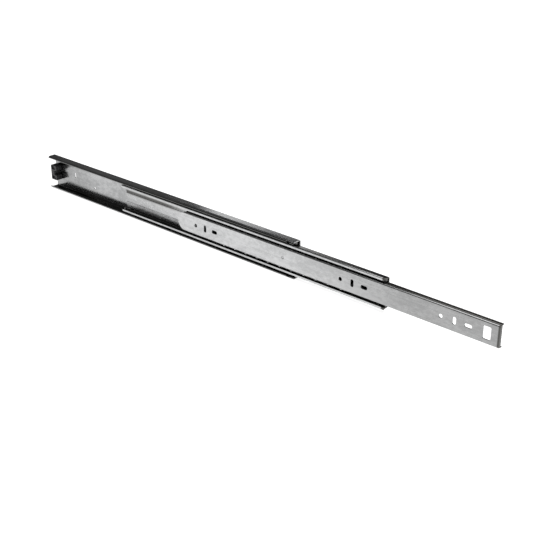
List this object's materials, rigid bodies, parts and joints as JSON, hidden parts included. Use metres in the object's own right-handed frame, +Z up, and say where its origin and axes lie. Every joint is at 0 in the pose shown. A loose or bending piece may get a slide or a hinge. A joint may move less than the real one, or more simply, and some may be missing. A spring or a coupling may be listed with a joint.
{
  "type": "cabinet drawer slide",
  "caption": "Full-extension telescopic drawer slide: three nested zinc-plated steel channels on ball rows, with a rear bumper, a disconnect lever and screw slots.",
  "frame": {"origin": "centre of the cabinet member's flat back, halfway along its 450 mm length and at mid height", "axes": "+X the way the drawer pulls out, +Z up, +Y out of the back into the cabinet's side, so the drawer is on the -Y side"},
  "size_m": [0.712, 0.0127, 0.0456],
  "materials": {
    "zinc_plated_steel": "bright zinc plate over rolled steel sheet, fine lengthwise rolling marks",
    "cage_steel": "plain stamped steel strip, lightly oiled",
    "ball_steel": "polished bearing steel",
    "rivet_steel": "plain headed steel, dull",
    "black_plastic": "moulded black plastic, fine grain"
  },
  "bodies": {
    "cabinet": {"cabinet_member": "zinc_plated_steel", "rear_bumper": "black_plastic"},
    "intermediate": {"intermediate_member": "zinc_plated_steel"},
    "drawer": {"drawer_member": "zinc_plated_steel", "lever_rivet": "rivet_steel"},
    "outer_cage": {"outer_ball_cage": "cage_steel", "outer_ball_top_01": "ball_steel", "outer_ball_top_02": "ball_steel", "outer_ball_top_03": "ball_steel", "outer_ball_top_04": "ball_steel", "outer_ball_top_05": "ball_steel", "outer_ball_top_06": "ball_steel", "outer_ball_top_07": "ball_steel", "outer_ball_top_08": "ball_steel", "outer_ball_top_09": "ball_steel", "outer_ball_top_10": "ball_steel", "outer_ball_top_11": "ball_steel", "outer_ball_bottom_01": "ball_steel", "outer_ball_bottom_02": "ball_steel", "outer_ball_bottom_03": "ball_steel", "outer_ball_bottom_04": "ball_steel", "outer_ball_bottom_05": "ball_steel", "outer_ball_bottom_06": "ball_steel", "outer_ball_bottom_07": "ball_steel", "outer_ball_bottom_08": "ball_steel", "outer_ball_bottom_09": "ball_steel", "outer_ball_bottom_10": "ball_steel", "outer_ball_bottom_11": "ball_steel"},
    "inner_cage": {"inner_ball_cage": "cage_steel", "inner_ball_top_01": "ball_steel", "inner_ball_top_02": "ball_steel", "inner_ball_top_03": "ball_steel", "inner_ball_top_04": "ball_steel", "inner_ball_top_05": "ball_steel", "inner_ball_top_06": "ball_steel", "inner_ball_top_07": "ball_steel", "inner_ball_top_08": "ball_steel", "inner_ball_top_09": "ball_steel", "inner_ball_top_10": "ball_steel", "inner_ball_top_11": "ball_steel", "inner_ball_bottom_01": "ball_steel", "inner_ball_bottom_02": "ball_steel", "inner_ball_bottom_03": "ball_steel", "inner_ball_bottom_04": "ball_steel", "inner_ball_bottom_05": "ball_steel", "inner_ball_bottom_06": "ball_steel", "inner_ball_bottom_07": "ball_steel", "inner_ball_bottom_08": "ball_steel", "inner_ball_bottom_09": "ball_steel", "inner_ball_bottom_10": "ball_steel", "inner_ball_bottom_11": "ball_steel"},
    "lever": {"disconnect_lever": "black_plastic"}
  },
  "joints": [
    {"name": "intermediate_slide", "type": "slide", "parent": "cabinet", "child": "intermediate", "axis": [1, 0, 0], "range_m": [-0.1408, 0.0842]},
    {"name": "drawer_slide", "type": "slide", "parent": "intermediate", "child": "drawer", "axis": [1, 0, 0], "range_m": [-0.1212, 0.1038]},
    {"name": "outer_cage_slide", "type": "slide", "parent": "cabinet", "child": "outer_cage", "axis": [1, 0, 0], "range_m": [-0.0704, 0.0421]},
    {"name": "inner_cage_slide", "type": "slide", "parent": "intermediate", "child": "inner_cage", "axis": [1, 0, 0], "range_m": [-0.0606, 0.0519]},
    {"name": "lever_pivot", "type": "hinge", "parent": "drawer", "child": "lever", "pos_m": [0.209, -0.0096, 0], "axis": [0, 1, 0], "range_deg": [0, 10], "stiffness_Nm_per_rad": 0.2}
  ],
  "couplings": [
    {"joint": "outer_cage_slide", "follows": "intermediate_slide", "ratio": 0.5},
    {"joint": "inner_cage_slide", "follows": "drawer_slide", "ratio": 0.5}
  ]
}
